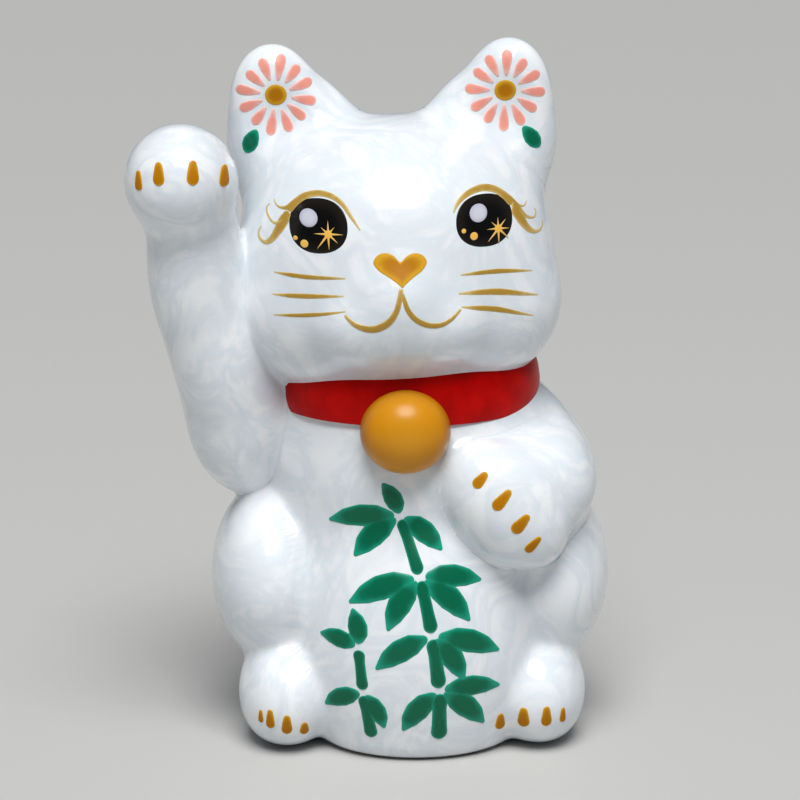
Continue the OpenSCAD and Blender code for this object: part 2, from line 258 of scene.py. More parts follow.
def own_side(mine, others, softness):
    """The smooth union as seen from one piece: its own form, less softness times the log of one
    plus e to the power of minus the gap to each other form, in softnesses."""
    return mine - softness * np.log(1 + sum(np.exp(-np.abs(f - mine) / softness) for f in others))


def head_form(p):
    """The skull and both ears as one form."""
    return blend([skull_form(p), ear_form(p, 1), ear_form(p, -1)], ear_fillet)


def torso_form(p):
    """Everything below the neck as one form."""
    return blend(list(torso_forms(p).values()), slip_fillet)


def torso_share(p, name):
    """One torso casting's share: its fillets with the others, then a tighter one with the head."""
    forms = torso_forms(p)
    mine = forms.pop(name)
    return own_side(own_side(mine, list(forms.values()), slip_fillet), [head_form(p)], neck_fillet)


def cat_form(p):
    """The whole cat as one form, with every fillet."""
    return blend([torso_form(p), head_form(p)], neck_fillet)


def facing(p, step=0.05):
    """Unit vectors that point straight out of the cat: its slope, across a small step."""
    slope = np.stack([cat_form(p + step * e) - cat_form(p - step * e) for e in np.eye(3)], -1)
    return slope / np.linalg.norm(slope, axis=-1, keepdims=True)


# %% [markdown]
# ## Skins
# A skin is found by sending out rays that fan from a line inside the form, like the spines of a sea
# urchin, and stopping each one where the form crosses zero. The two parameters are the lift of a
# ray, from straight down to straight up, and its turn around the line.

# %% Rays that stop at the surface
def surface_along(form, start, way, least=0.4, marches=60, halvings=16):
    """First point on each ray where the form changes sign. It marches by most of the form's value,
    and at least a small step, then halves the last step again and again."""
    begin = np.sign(form(start))
    far = np.zeros(begin.shape)
    near = far.copy()
    crossed = np.zeros(begin.shape, bool)
    for _ in range(marches):
        value = form(start + way * far[..., None])
        crossed |= np.sign(value) != begin
        if crossed.all():
            break
        near = np.where(crossed, near, far)
        far = np.where(crossed, far, far + np.maximum(least, 0.85 * np.abs(value)))
    for _ in range(halvings):
        middle = (near + far) / 2
        outside = np.sign(form(start + way * middle[..., None])) != begin
        far = np.where(outside, middle, far)
        near = np.where(outside, near, middle)
    return start + way * ((near + far) / 2)[..., None]


def fan(form, low, high, lifts, sides):
    """Grid of skin points: one row for each lift in degrees, and sides points round each row."""
    low, high = np.array(low, float), np.array(high, float)
    axis = (high - low) / np.linalg.norm(high - low)
    across = np.cross(axis, (0, 1, 0))
    across /= np.linalg.norm(across)
    along = np.cross(axis, across)
    lift = np.radians(lifts)[:, None, None]
    turn = np.radians(np.arange(sides) * 360 / sides)[None, :, None]
    way = axis * np.sin(lift) + (across * np.cos(turn) + along * np.sin(turn)) * np.cos(lift)
    start = low + (high - low) * (1 + np.sin(lift)) / 2 + 0 * way
    return surface_along(form, start, way)


# %% [markdown]
# A grid becomes a mesh in one helper. Every grid is closed round its rows. Its first and last rows
# either shrink to one point each, as at the poles of a globe, or join each other, as on a ring.
# The helper adds up the volume inside: if it comes out negative the faces point inwards, and it
# turns them all round. Normals can be given too, so that two pieces shade alike at their joint.

# %% A closed grid as a mesh
MADE = {}


def in_scene(name, data):
    """A new object that shows some data, linked into the scene."""
    made = bpy.data.objects.new(name, data)
    bpy.context.scene.collection.objects.link(made)
    return made


def grid_faces(rows, sides, ring):
    """Quads between neighbouring rows, and a fan of triangles at each pole unless it is a ring."""
    row = np.arange(rows if ring else rows - 3)[:, None]
    column = np.arange(sides)[None, :]
    first = 0 if ring else 1
    a = first + row * sides + column
    b = first + row * sides + (column + 1) % sides
    up = first + (row + 1) % rows * sides if ring else first + (row + 1) * sides
    quads = np.stack([a, b, up + (column + 1) % sides, up + column], -1).reshape(-1, 4).tolist()
    if ring:
        return quads
    last = 1 + (rows - 3) * sides
    side = np.arange(sides)
    start = np.stack([0 * side, 1 + (side + 1) % sides, 1 + side], -1).tolist()
    end = np.stack([0 * side + last + sides, last + side, last + (side + 1) % sides], -1).tolist()
    return quads + start + end


def flat_list(grid, ring):
    """A grid's values as one list, with the first and last rows as single values unless a ring."""
    if ring:
        return grid.reshape(-1, *grid.shape[2:])
    inner = grid[1:-1].reshape(-1, *grid.shape[2:])
    return np.concatenate([grid[:1].mean(1), inner, grid[-1:].mean(1)])


def volume_inside(points, faces):
    """Signed volume: the sum over triangles of a sixth of a dot (b cross c)."""
    other_halves = [(f[0], f[2], f[3]) for f in faces if len(f) == 4]
    triangles = np.array([f[:3] for f in faces] + other_halves)
    a, b, c = (points[triangles[:, i]] for i in range(3))
    return float((a * np.cross(b, c)).sum() / 6)


def make_piece(name, grids, ring=False, pools=None, normals=None):
    """One object from one or more closed grids, in millimetres, with a pool value at each point."""
    points, faces, values = np.zeros((0, 3)), [], []
    for i, grid in enumerate(grids):
        shell = flat_list(grid, ring)
        shell_faces = grid_faces(len(grid), grid.shape[1], ring)
        if volume_inside(shell, shell_faces) < 0:
            shell_faces = [f[::-1] for f in shell_faces]
        faces += [[v + len(points) for v in f] for f in shell_faces]
        points = np.concatenate([points, shell])
        values.append(flat_list(pools[i], ring) if pools is not None else np.ones(len(shell)))
    mesh = bpy.data.meshes.new(name)
    mesh.from_pydata((points * MM).tolist(), [], faces)
    mesh.polygons.foreach_set("use_smooth", np.ones(len(faces), bool))
    pool = mesh.attributes.new("pool", "FLOAT", "POINT")
    pool.data.foreach_set("value", np.concatenate(values).astype(np.float32))
    if normals is not None:
        mesh.normals_split_custom_set_from_vertices(normals(points).tolist())
    mesh.update()
    piece = in_scene(name, mesh)
    MADE[name] = piece
    print(f"{name}: {len(points)} points, {volume_inside(points, faces) / 1000:.2f} cm3")
    return piece


def place(piece, node, body="cat"):
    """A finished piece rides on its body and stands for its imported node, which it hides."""
    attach(piece, body)
    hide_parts(node)
    return piece


# %% [markdown]
# ## Body casting
# The body is a hollow shell: a wall of even thickness, a way up into the head, a recess under the
# foot and a round hole for the stopper. A Solidify modifier on an outer skin could give the wall,
# but the hole, the recess and the foot need rims of their own. So the profile is carried through
# all of them: up the outside, down through the neck, down the inside, and out under the foot.

# %% Body grid
body_sides = 300
body_low, body_high = np.array([0, 3, 20]) * body_fit, np.array([0, 1, 72]) * body_fit
foot_round = 1.1
floor_z = 6.0
stopper_low, stopper_high = box_mm("stopper")
stopper_mid = (stopper_low + stopper_high) / 2
recess_z = 2.5
flange_r = (stopper_high[0] - stopper_low[0]) / 2
recess_r = flange_r + 8
hole_r = flange_r - 3
bore_r = 12.0


def body_outside(p):
    """The body's half of every fillet, cut off level at the foot with a small round."""
    return -blend([-torso_share(p, "body"), p[..., 2]], foot_round)


def body_inside(p):
    """The body's form moved in by the wall, cut off level at the floor of the hollow."""
    return -blend([-(body_form(p) + wall), p[..., 2] - floor_z], 1.2)


def circles(rings, sides=body_sides):
    """Level circles round the stopper's axis, one for each (radius, height)."""
    turn = np.radians(np.arange(sides) * 360 / sides)
    across = np.cross(body_high - body_low, (0, 1, 0))
    sign = np.sign(across[0])
    return np.stack([np.stack([stopper_mid[0] + sign * r * np.cos(turn),
                               stopper_mid[1] + sign * r * np.sin(turn), 0 * turn + z], -1)
                     for r, z in rings])


outer = fan(body_outside, body_low, body_high, np.linspace(-49, 62, 230), body_sides)
inner = fan(body_inside, body_low, body_high, np.linspace(57, -54, 80), body_sides)
dome_z, ceiling_z = outer[-1, :, 2].mean() + 0.3, inner[0, :, 2].mean() + 0.3
through_neck = circles([(bore_r + 0.4, dome_z), (bore_r, dome_z - 0.4), (bore_r, ceiling_z)])
under_foot = circles([(hole_r + 0.4, floor_z), (hole_r, floor_z - 0.4), (hole_r, recess_z + 0.4),
                      (hole_r + 0.4, recess_z), (recess_r - 0.5, recess_z),
                      (recess_r, recess_z - 0.5), (recess_r, 0.4), (recess_r + 0.35, 0.02)])
body_grid = np.concatenate([outer, through_neck, inner, under_foot])
print("body grid:", body_grid.shape)

# %% [markdown]
# The coin slot goes through the back. It needs a clean hole through a curved wall, which is a job
# for a Boolean. The cutter is a grid too: rounded slot outlines, one behind the other, that follow
# the curve of the back, and the outermost ones flare so that the glaze rounds the lips of the slot.

# %% Coin slot cutter
slot_long, slot_wide, slot_z = 28.0, 3.6, 62.0 * body_fit[2]
flare = [(5.0, 0.8), (0.8, 0.8), (0.0, 0.7), (-0.25, 0.3), (-0.6, 0.08), (-1.2, 0), (-wall - 6, 0)]


def slot_outline(grow, count=96):
    """Points round a slot with half-round ends, larger all round by grow: a circle whose two
    halves are pulled apart sideways."""
    turn = once_round(count)
    r = slot_wide / 2 + grow
    pull = (slot_long - slot_wide) / 2 * np.tanh(6 * np.cos(turn))
    return np.stack([r * np.cos(turn) + pull, r * np.sin(turn)], -1)


def behind(x, z, clear_of_back=70):
    """Points on the back of the body, over flat places x and z."""
    start = np.stack([x, 0 * x + clear_of_back, z], -1)
    return surface_along(body_form, start, np.array([0, -1, 0]))


rings = []
for out, grow in flare:
    edge = slot_outline(grow)
    on_back = behind(edge[:, 0], slot_z + edge[:, 1])
    rings.append(on_back + np.array([0, out, 0]))
first_cap, last_cap = (0 * ring + ring.mean(0) for ring in (rings[0], rings[-1]))
slot_grid = np.stack([first_cap] + rings + [last_cap])
cutter = make_piece("slot_cutter", [slot_grid])

# %% Body with its slot
body = make_piece("body_casting", [body_grid], ring=True)
cut = body.modifiers.new("slot", "BOOLEAN")
cut.operation, cut.solver, cut.object = "DIFFERENCE", "MANIFOLD", cutter
cut_mesh = bpy.data.meshes.new_from_object(body.evaluated_get(bpy.context.evaluated_depsgraph_get()))
body.modifiers.clear()
body.data = cut_mesh
bpy.data.objects.remove(MADE.pop("slot_cutter"))


def mesh_points(mesh):
    """All the vertices of a mesh, in millimetres."""
    flat = np.zeros(len(mesh.vertices) * 3)
    mesh.vertices.foreach_get("co", flat)
    return flat.reshape(-1, 3) / MM


def shade_with_form(mesh, on_skin=0.06, level_with_table=0.3, least_agreement=0.8):
    """Normals from the cat's form on its outer skin; elsewhere each face keeps its own normal."""
    points = mesh_points(mesh)
    corner = np.zeros(len(mesh.loops), int)
    mesh.loops.foreach_get("vertex_index", corner)
    sizes = np.zeros(len(mesh.polygons), int)
    mesh.polygons.foreach_get("loop_total", sizes)
    flat = np.zeros(len(mesh.polygons) * 3)
    mesh.polygons.foreach_get("normal", flat)
    face_way = np.repeat(flat.reshape(-1, 3), sizes, 0)
    way = facing(points)
    outer_skin = (np.abs(cat_form(points)) < on_skin) & (points[:, 2] > level_with_table)
    agree = (way[corner] * face_way).sum(-1) > least_agreement
    by_form = outer_skin[corner] & agree
    mesh.normals_split_custom_set(np.where(by_form[:, None], way[corner], 0).tolist())
    print("corners shaded by the form:", int(by_form.sum()), "of", len(corner))


shade_with_form(body.data)
body.data.polygons.foreach_set("use_smooth", np.ones(len(body.data.polygons), bool))
place(body, "body_shell")

# %% [markdown]
# ## Head, ears, arms and tail
# The head is cast hollow as well, so its grid runs down the outside, in at the neck and up the
# inside. The ears are small enough to fill with slip. Each is its own piece with its own fan, which
# puts the points where the ear is thin. The arms and the tail are luted on and closed at the root.

# %% Head casting
head_sides = 280
head_low, head_high = out_of_head([0, -4, 20]), out_of_head([0, -3, 32])


def head_outside(p):
    """The skull's share: first its fillet with the ears, then with the other castings."""
    with_ears = own_side(skull_form(p), [ear_form(p, 1), ear_form(p, -1)], ear_fillet)
    return own_side(with_ears, [torso_form(p)], neck_fillet)


def head_inside(p):
    return skull_form(p) + wall


outer = fan(head_outside, head_low, head_high, np.linspace(90, -52, 200), head_sides)
inner = fan(head_inside, head_low, head_high, np.linspace(-46, 90, 60), head_sides)
head = make_piece("head_casting", [np.concatenate([outer, inner])], normals=facing)
place(head, "head_shell")


# %% Ears
def ear_outside(side):
    """One ear's share: its fillet with the skull, then with the other castings."""
    def form(p):
        others = [skull_form(p), ear_form(p, -side)]
        return own_side(own_side(ear_form(p, side), others, ear_fillet), [torso_form(p)], neck_fillet)
    return form


for side, name in ((1, "left_ear"), (-1, "right_ear")):
    low, high = out_of_head([side * 20.8, 2, 46]), out_of_head([side * 25, 1.5, 61])
    grid = fan(ear_outside(side), low, high, np.linspace(-90, 90, 110), 150)
    place(make_piece(name, [grid], normals=facing), "head_shell")

# %% Arms
ARMS = (("raised_arm", "beckoning", (-37, -4, 67), (-48, -16.5, 122), 240, 170),
        ("lowered_arm", "resting", (28, -9, 58.5), (18.5, -25, 54.5), 150, 190))
for arm, form_name, low, high, rows, sides in ARMS:
    low, high = np.array(low) * body_fit, np.array(high) * body_fit
    grid = fan(lambda p: torso_share(p, form_name), low, high, np.linspace(-90, 90, rows), sides)
    place(make_piece(arm + "_casting", [grid], normals=facing), arm)

# %% [markdown]
# The tail curves too much for one fan, so its rays start all along its own middle line: square to
# the line up to the tip, and then swung forward step by step until they point straight ahead.

# %% Tail
tail_sides, rows_along, rows_at_tip, tip_u = 90, 90, 26, 0.93
tail_u = np.concatenate([np.linspace(0.04, tip_u, rows_along), np.full(rows_at_tip, tip_u)])
swing = np.concatenate([np.zeros(rows_along), np.linspace(0, math.pi / 2, rows_at_tip + 1)[1:]])
start = tail_line(tail_u)[:, None, :]
ahead = (tail_line(tail_u + 0.01) - tail_line(tail_u - 0.01))[:, None, :]
ahead /= np.linalg.norm(ahead, axis=-1, keepdims=True)
across = np.cross(ahead, (0, 1, 0))
across /= np.linalg.norm(across, axis=-1, keepdims=True)
turn, swing = once_round(tail_sides)[None, :, None], swing[:, None, None]
way = across * np.cos(turn) + np.cross(ahead, across) * np.sin(turn)
way = way * np.cos(swing) + ahead * np.sin(swing)
tail_grid = surface_along(lambda p: torso_share(p, "tail"), start + 0 * way, way)
tail_grid = np.concatenate([tail_grid[:1].mean(1, keepdims=True) + 0 * tail_grid[:1], tail_grid])
place(make_piece("tail_casting", [tail_grid], normals=facing), "tail")

# %% [markdown]
# The glaze is thickest where lumps run into each other, and shade falls there as well. How far the
# smooth union lies below the plain one says how deep in a crease a point is, and the castings keep
# that value for their finish, which paints the creases darker: thicker glaze and painted shade.

# %% Crease depth, for gathered glaze and painted shade
crease_reach, always_smooth = 3.0, 0.25


def crease_depth(points):
    """How far the smooth form lies below the lowest single lump: zero up to a quarter of the
    crease reach, as lumps that only touch give that much, and then rising evenly to one. The
    glaze finish uses it for gathered glaze and painted shade in the creases."""
    in_head = into_head(points)
    mirrored = in_head * np.array([-1, 1, 1])
    torso_lumps = trunk + apron + haunches + feet + beckoning + resting + tail_beads
    lumps = [depth(points, lump) for lump in torso_lumps]
    lumps += [depth(in_head, lump) for lump in skull + ear] + [depth(mirrored, lump) for lump in ear]
    deep = np.minimum.reduce(lumps) - cat_form(points)
    return np.clip(deep / crease_reach - always_smooth, 0, 1)


# The castings keep crease depth as their pool value, and the glaze finish paints shade into the creases
# with it.
castings = list(MADE.values())
for casting in castings:
    at_points = mesh_points(casting.data)
    pool = casting.data.attributes.get("pool") or casting.data.attributes.new("pool", "FLOAT", "POINT")
    pool.data.foreach_set("value", crease_depth(at_points).astype(np.float32))
print("castings with gathered glaze:", [casting.name for casting in castings])

# %% [markdown]
# ## Collar and bell
# The red collar is a raised band of slip round the neck, rounded like a slice out of an egg. At the
# shoulder it sinks into the body. Its section is carried round in a closed formula, so no rays are
# needed, and the back of the section stays hidden inside the neck.

# %% Collar
band_low, band_high = box_mm("collar")[0][2], box_mm("collar")[1][2]
band_mid, band_half = (band_low + band_high) / 2, (band_high - band_low) / 2
band_proud, band_thick, corner_power = 1.6, 2.5, 0.35
egg_middle = np.array([-0.6, -0.8, 77]) * body_fit
egg_half = np.array([27, 24.2, 20]) * body_fit + (band_proud, band_proud, 0)
edge = np.linspace(-math.pi, math.pi, 49)[:-1, None]
turn = once_round(300)[None, :]
inset = band_thick * (1 - np.clip(0.8 * (np.cos(edge) + 1), 0, 1) ** corner_power)
height = band_mid + band_half * np.sign(np.sin(edge)) * np.abs(np.sin(edge)) ** corner_power
swell = np.sqrt(1 - ((height - egg_middle[2]) / egg_half[2]) ** 2)
collar_grid = np.stack([egg_middle[0] + (egg_half[0] * swell - inset) * np.cos(turn),
                        egg_middle[1] + (egg_half[1] * swell - inset) * np.sin(turn),
                        height + 0 * turn], -1)
place(make_piece("collar_band", [collar_grid], ring=True), "collar")

# %% [markdown]
# The bell is a blob of slip pressed on to the collar: a low dome, rounder at its rim than a ball.

# %% Bell
bell_low, bell_high = box_mm("bell")
bell_half = (bell_high - bell_low) / 2
bell_mid = (bell_low + bell_high) / 2
bell_mid[1] = -27 * body_fit[1]
bell_bulge, bell_root, rim_power = bell_mid[1] - bell_low[1], 3.0, 0.9
lift = np.linspace(math.pi / 2, -math.pi / 2, 90)[:, None]
turn = np.linspace(0, 2 * math.pi, 121)[None, :-1]
deep = np.where(lift > 0, bell_bulge, bell_root)
wide = np.cos(lift) ** rim_power
bell_grid = np.stack([bell_half[0] * wide * np.cos(turn), -deep * np.sin(lift) + 0 * turn,
                      bell_half[2] * wide * np.sin(turn)], -1) + bell_mid
place(make_piece("bell_dome", [bell_grid]), "bell")

# %% [markdown]
# ## Rubber stopper
# A soft plug closes the hole under the foot. It is a turned shape, so its profile goes once round
# the hole's axis: a flat flange, a tapered plug with two gripping ribs, and a hollow middle.

# %% Stopper
flange_z, flange_top = stopper_low[2], recess_z
plug_r, plug_tip_r, plug_top, plug_wall = hole_r - 0.1, hole_r - 0.9, stopper_high[2], 2.4
well_r = plug_tip_r - plug_wall
profile = [(0.0, flange_z + 0.5), (3.6, flange_z + 0.5), (4.2, flange_z), (flange_r - 1.0, flange_z),
           (flange_r - 0.3, flange_z + 0.2), (flange_r, flange_z + 0.6), (flange_r, flange_top - 0.2),
           (flange_r - 0.2, flange_top), (plug_r - 0.3, flange_top), (plug_r - 0.3, flange_top + 1.5),
           (plug_r, flange_top + 1.9), (plug_r - 0.05, flange_top + 2.5),
           (plug_tip_r - 0.1, flange_top + 3.0), (plug_tip_r + 0.1, flange_top + 5.0),
           (plug_tip_r, plug_top - 1.0), (plug_tip_r - 0.5, plug_top - 0.2),
           (plug_tip_r - 0.9, plug_top), (well_r + 0.4, plug_top), (well_r, plug_top - 0.4),
           (well_r, flange_top + 0.6), (well_r - 0.6, flange_top), (0.0, flange_top)]
turn = once_round(120)[None, :]
radius, level = (np.array(v)[:, None] for v in zip(*profile))
stopper_grid = np.stack([stopper_mid[0] + radius * np.cos(turn), stopper_mid[1] + radius * np.sin(turn),
                         level + 0 * turn], -1)
stopper = make_piece("stopper_plug", [stopper_grid])
soft_edge = stopper.modifiers.new("moulded edges", "BEVEL")
soft_edge.width, soft_edge.segments, soft_edge.limit_method = 0.15 * MM, 2, "ANGLE"
place(stopper, "stopper", "stopper")

# %% [markdown]
# ## Painted enamel
# The decoration is thick enamel, laid on the fired glaze with a brush and fired again. It stands
# about a sixth of a millimetre proud, with rounded edges. A texture could show the colour, but not
# the bead of light along each edge, so every stroke is a thin closed shape laid over the form. A
# stroke is first a flat grid, with a height at each point; then level rays find the glaze behind
# it. Enamel pools towards the middle of a stroke, which a value on each point keeps for its colour.

# %% Lines and outlines
sunk = 0.12


def through(points, count, closed=False):
    """A smooth line through points: each span is a cubic, whose slope at a point is half the step
    from the point before it to the point after it."""
    p = np.array(points, float)
    spans = len(p) if closed else len(p) - 1
    u = np.arange(count) * spans / count if closed else np.linspace(0, spans, count)
    i = np.minimum(u.astype(int), spans - 1)
    t = (u - i)[:, None]
    pick = (lambda k: p[k % len(p)]) if closed else (lambda k: p[np.clip(k, 0, len(p) - 1)])
    a, b, c, d = pick(i - 1), pick(i), pick(i + 1), pick(i + 2)
    square, cube = a - 2.5 * b + 2 * c - d / 2, 1.5 * (b - c) + (d - a) / 2
    return b + t * (c - a) / 2 + t ** 2 * square + t ** 3 * cube


def stroke(points, widths, proud=0.16, count=48, sides=20):
    """A brush stroke: a flattened tube along a line. Its half width follows the widths, rounded at
    both ends; round the tube, the cosine goes across the line and the sine lifts off the glaze."""
    line = through(points, count)
    closer_at_ends = 0.5 - 0.5 * np.cos(np.linspace(0, math.pi, count))
    line = np.stack([np.interp(closer_at_ends, np.linspace(0, 1, count), line[:, k])
                     for k in (0, 1)], -1)
    step = np.gradient(line, axis=0)
    step /= np.maximum(np.linalg.norm(step, axis=1, keepdims=True), 1e-9)
    run = np.concatenate([[0], np.cumsum(np.linalg.norm(np.diff(line, axis=0), axis=1))])
    half = np.interp(run / run[-1], np.linspace(0, 1, len(widths)), widths) / 2
    ends = np.minimum(run / max(widths[0] / 2, 0.1), (run[-1] - run) / max(widths[-1] / 2, 0.1))
    half = half * np.sqrt(1 - (1 - np.clip(ends, 0, 1)) ** 2)
    turn = once_round(sides)[None, :]
    side_way = np.stack([-step[:, 1], step[:, 0]], -1)
    flat = line[:, None] + side_way[:, None] * (half[:, None] * np.cos(turn))[..., None]
    steep = np.abs(np.sin(turn))
    lift = np.where(np.sin(turn) >= 0, proud * steep ** 0.8, -sunk * steep)
    lift = lift * np.clip(half / 0.4, 0.25, 1)[:, None]
    return flat, lift, np.clip(np.sin(turn), 0, 1) * np.clip(half / half.max(), 0, 1)[:, None]


def puddle(outline, middle=None, proud=0.16, over=0.0, rings=12):
    """A pool of enamel: its outline shrinks ring by ring to the middle on top, and again below.
    The top is level but for its edge, which falls off as a quarter circle does."""
    outline = np.array(outline, float)
    middle = outline.mean(0) if middle is None else np.array(middle, float)
    share = np.sin(np.linspace(0, math.pi / 2, rings))
    share = np.concatenate([share, share[-2::-1]])[:, None]
    top = (np.arange(len(share)) < rings)[:, None]
    flat = middle + (outline - middle)[None] * share[..., None]
    lift = np.where(top, over + proud * np.sqrt(1 - share ** 6), over - sunk) + 0 * flat[..., 0]
    return flat, lift, np.where(top, 1 - share ** 2, 0) + 0 * lift


def oval(middle, width, height, turn=0, squareness=2.0, count=96):
    """Outline of a superellipse, where squareness 2 is an ellipse and more is squarer."""
    a = once_round(count)
    x = width / 2 * np.sign(np.cos(a)) * np.abs(np.cos(a)) ** (2 / squareness)
    z = height / 2 * np.sign(np.sin(a)) * np.abs(np.sin(a)) ** (2 / squareness)
    c, s = math.cos(math.radians(turn)), math.sin(math.radians(turn))
    return np.stack([middle[0] + x * c - z * s, middle[1] + x * s + z * c], -1)


# %% Laying enamel on the glaze
def lay(flat, lift, leaning, front=-75.0):
    """Points found where level rays through flat places meet the front of the cat, then raised
    straight out of it. On the head, the flat places lean with the head."""
    place_at = np.stack([flat[:, 0], 0 * flat[:, 0], flat[:, 1]], -1)
    if leaning:
        place_at = out_of_head(place_at)
    place_at[:, 1] = front
    on_glaze = surface_along(cat_form, place_at, np.array([0.0, 1.0, 0.0]), least=0.25)
    return on_glaze + facing(on_glaze) * lift[:, None]


def paint(name, marks, node, leaning=True):
    """Lays all the marks of one piece at once, and makes the piece."""
    flats = np.concatenate([flat.reshape(-1, 2) for flat, _, _ in marks])
    lifts = np.concatenate([lift.ravel() for _, lift, _ in marks])
    laid = lay(flats, lifts, leaning)
    cuts = np.cumsum([lift.size for _, lift, _ in marks])[:-1]
    grids = [part.reshape(*lift.shape, 3) for part, (_, lift, _) in zip(np.split(laid, cuts), marks)]
    return place(make_piece(name, grids, pools=[pool for _, _, pool in marks]), node)


# %% [markdown]
# ### Eyes
# Each eye is a glossy black pool, a little squarer than an ellipse. A lilac spot and a gold star
# with two dots lie on the black. The star is one outline whose radius is a small core plus a sharp
# peak for each ray. All places on the face are in the head's own frame: across, and above the neck.

# %% Eyes
EYES = (((-16.3, 34.8), 11.9, 10.8, 3), ((17.8, 34.8), 12.0, 10.3, -3))
eye_marks = [puddle(oval(*eye, squareness=2.25), proud=0.14, rings=16) for eye in EYES]
paint("eye_pools", eye_marks, "eyes")


# %% Spots and stars in the eyes
def star(middle, rays, core=0.7, narrow=0.1, count=360):
    """Outline of a star: the radius is the core plus, for each ray (angle, length), its length
    times e to the power of minus the angle away from it over narrow, which makes sharp points."""
    a = once_round(count)
    r = core + 0 * a
    for way, long in rays:
        away = np.abs((a - math.radians(way) + math.pi) % (2 * math.pi) - math.pi)
        r = np.maximum(r, core + (long - core) * np.exp(-away / narrow))
    return np.stack([middle[0] + r * np.cos(a), middle[1] + r * np.sin(a)], -1)


RIGHT_RAYS = [(90, 2.7), (180, 3.0), (0, 3.1), (-128, 3.9),
              (-42, 2.7), (-88, 3.2), (48, 2.0), (138, 2.0)]
LEFT_RAYS = [(92, 2.2), (45, 2.4), (178, 2.5), (-6, 2.5),
             (-46, 3.1), (-90, 3.1), (-134, 3.4), (135, 2.1)]
on_black = {"proud": 0.1, "over": 0.12}
spot_marks, star_marks = [], []
for spot, star_at, rays, dots in (
        ((-18.2, 36.3), (-14.3, 33.3), RIGHT_RAYS, [(-19.2, 31.2, 1.6), (-21.0, 32.2, 0.9)]),
        ((16.5, 36.4), (20.6, 32.9), LEFT_RAYS, [(15.4, 32.0, 1.6), (13.3, 33.2, 0.95)])):
    spot_marks.append(puddle(oval(spot, 3.7, 3.6, count=64), **on_black))
    star_marks.append(puddle(star(star_at, rays), star_at, rings=14, **on_black))
    star_marks += [puddle(oval((x, z), d, d, count=40), **on_black) for x, z, d in dots]
paint("eye_spots", spot_marks, "eye_highlights")
paint("eye_stars", star_marks, "eye_sparkles")

# %% [markdown]
# ### Gold lids, lashes, whiskers and mouth
# These are drawn in gold lustre with a fine brush. Each stroke swells and thins as the hand presses
# and lifts, so a stroke has a list of widths along its line as well as its points.

# %% Eyelids and lashes
LIDS = [
    ([(-7.8, 34.2), (-9.6, 36.9), (-11.2, 39.2), (-13.5, 40.7), (-16.2, 41.1), (-18.9, 40.4),
      (-20.8, 39.0), (-22.4, 37.4)], [0.25, 0.7, 0.95, 1.1, 1.2, 1.25, 1.45, 1.8]),
    ([(-21.9, 38.1), (-23.0, 37.8), (-24.1, 37.8), (-24.9, 38.3), (-25.3, 39.2)], [1.2, 0.8, 0.5,
      0.35, 0.2]),
    ([(-22.3, 37.2), (-23.2, 35.8), (-24.4, 34.8), (-25.4, 34.7), (-26.2, 35.3), (-26.8, 36.4),
      (-26.8, 37.4), (-26.2, 38.2)], [1.8, 1.5, 1.0, 0.65, 0.5, 0.45, 0.35, 0.2]),
    ([(-22.6, 36.6), (-23.6, 35.0), (-24.7, 33.2), (-26.0, 31.4), (-27.3, 30.6), (-28.4, 31.1),
      (-28.7, 32.3), (-28.1, 33.6)], [1.9, 2.0, 1.8, 1.4, 1.15, 0.7, 0.45, 0.2]),
    ([(11.3, 36.9), (12.3, 38.7), (14.2, 40.2), (16.6, 41.0), (18.6, 41.0), (20.6, 40.3),
      (22.4, 38.9), (24.0, 37.2)], [0.3, 0.9, 1.2, 1.35, 1.4, 1.3, 1.5, 1.9]),
    ([(23.6, 38.0), (24.6, 37.2), (25.6, 36.5), (26.6, 36.3), (27.3, 37.1)], [1.2, 0.8, 0.5, 0.35,
      0.2]),
    ([(24.0, 37.2), (25.3, 35.9), (26.6, 34.5), (27.9, 33.7), (28.9, 33.7), (29.2, 34.5),
      (28.9, 35.3)], [1.8, 1.4, 0.95, 0.65, 0.5, 0.4, 0.2]),
    ([(24.2, 36.8), (25.2, 34.9), (26.3, 33.0), (27.4, 31.6), (28.7, 30.8), (29.9, 30.8),
      (30.6, 31.5), (30.6, 32.5)], [1.9, 2.1, 1.9, 1.5, 1.2, 0.75, 0.45, 0.2])]
lid_marks = [stroke(points, widths, 0.13, 64) for points, widths in LIDS]
paint("gold_eyelids", lid_marks, "eyelids")

# %% Whiskers and mouth
WHISKERS = [
    ([(-25.8, 24.9), (-18.5, 24.5), (-11.1, 24.6)], [0.3, 1.15, 1.2, 0.9, 0.35]),
    ([(-26.2, 20.4), (-19.0, 20.6), (-11.6, 21.1)], [0.3, 1.15, 1.3, 0.95, 0.35]),
    ([(-26.1, 16.2), (-18.8, 16.8), (-11.3, 18.2)], [0.3, 0.95, 1.1, 0.8, 0.3]),
    ([(12.4, 24.5), (20.2, 24.4), (27.8, 23.3)], [0.35, 1.1, 1.3, 0.95, 0.3]),
    ([(11.8, 20.9), (20.4, 20.2), (28.9, 18.2)], [0.35, 1.4, 1.75, 1.2, 0.3]),
    ([(12.3, 18.3), (20.2, 16.6), (27.7, 14.1)], [0.35, 1.3, 1.5, 1.0, 0.3])]
LIPS = [
    ([(0.1, 23.0), (-0.4, 20.6), (-1.1, 18.4), (-2.6, 16.3), (-4.9, 15.0), (-7.3, 14.9), (-9.7, 15.8),
      (-11.5, 17.5)], [0.9, 1.15, 1.25, 1.5, 1.6, 1.4, 1.0, 0.6]),
    ([(0.2, 22.2), (0.7, 20.4), (1.5, 18.3), (3.2, 16.4), (5.5, 15.3), (8.0, 15.2), (10.2, 16.2),
      (12.2, 17.9)], [0.7, 1.0, 1.15, 1.2, 1.15, 1.0, 0.8, 0.5])]
light_hand = 0.8
whisker_marks = [stroke(points, light_hand * np.array(widths), 0.1) for points, widths in WHISKERS]
paint("gold_whiskers", whisker_marks, "whiskers")
lip_marks = [stroke(points, widths, 0.15, 64) for points, widths in LIPS]
paint("gold_lips", lip_marks, "mouth")

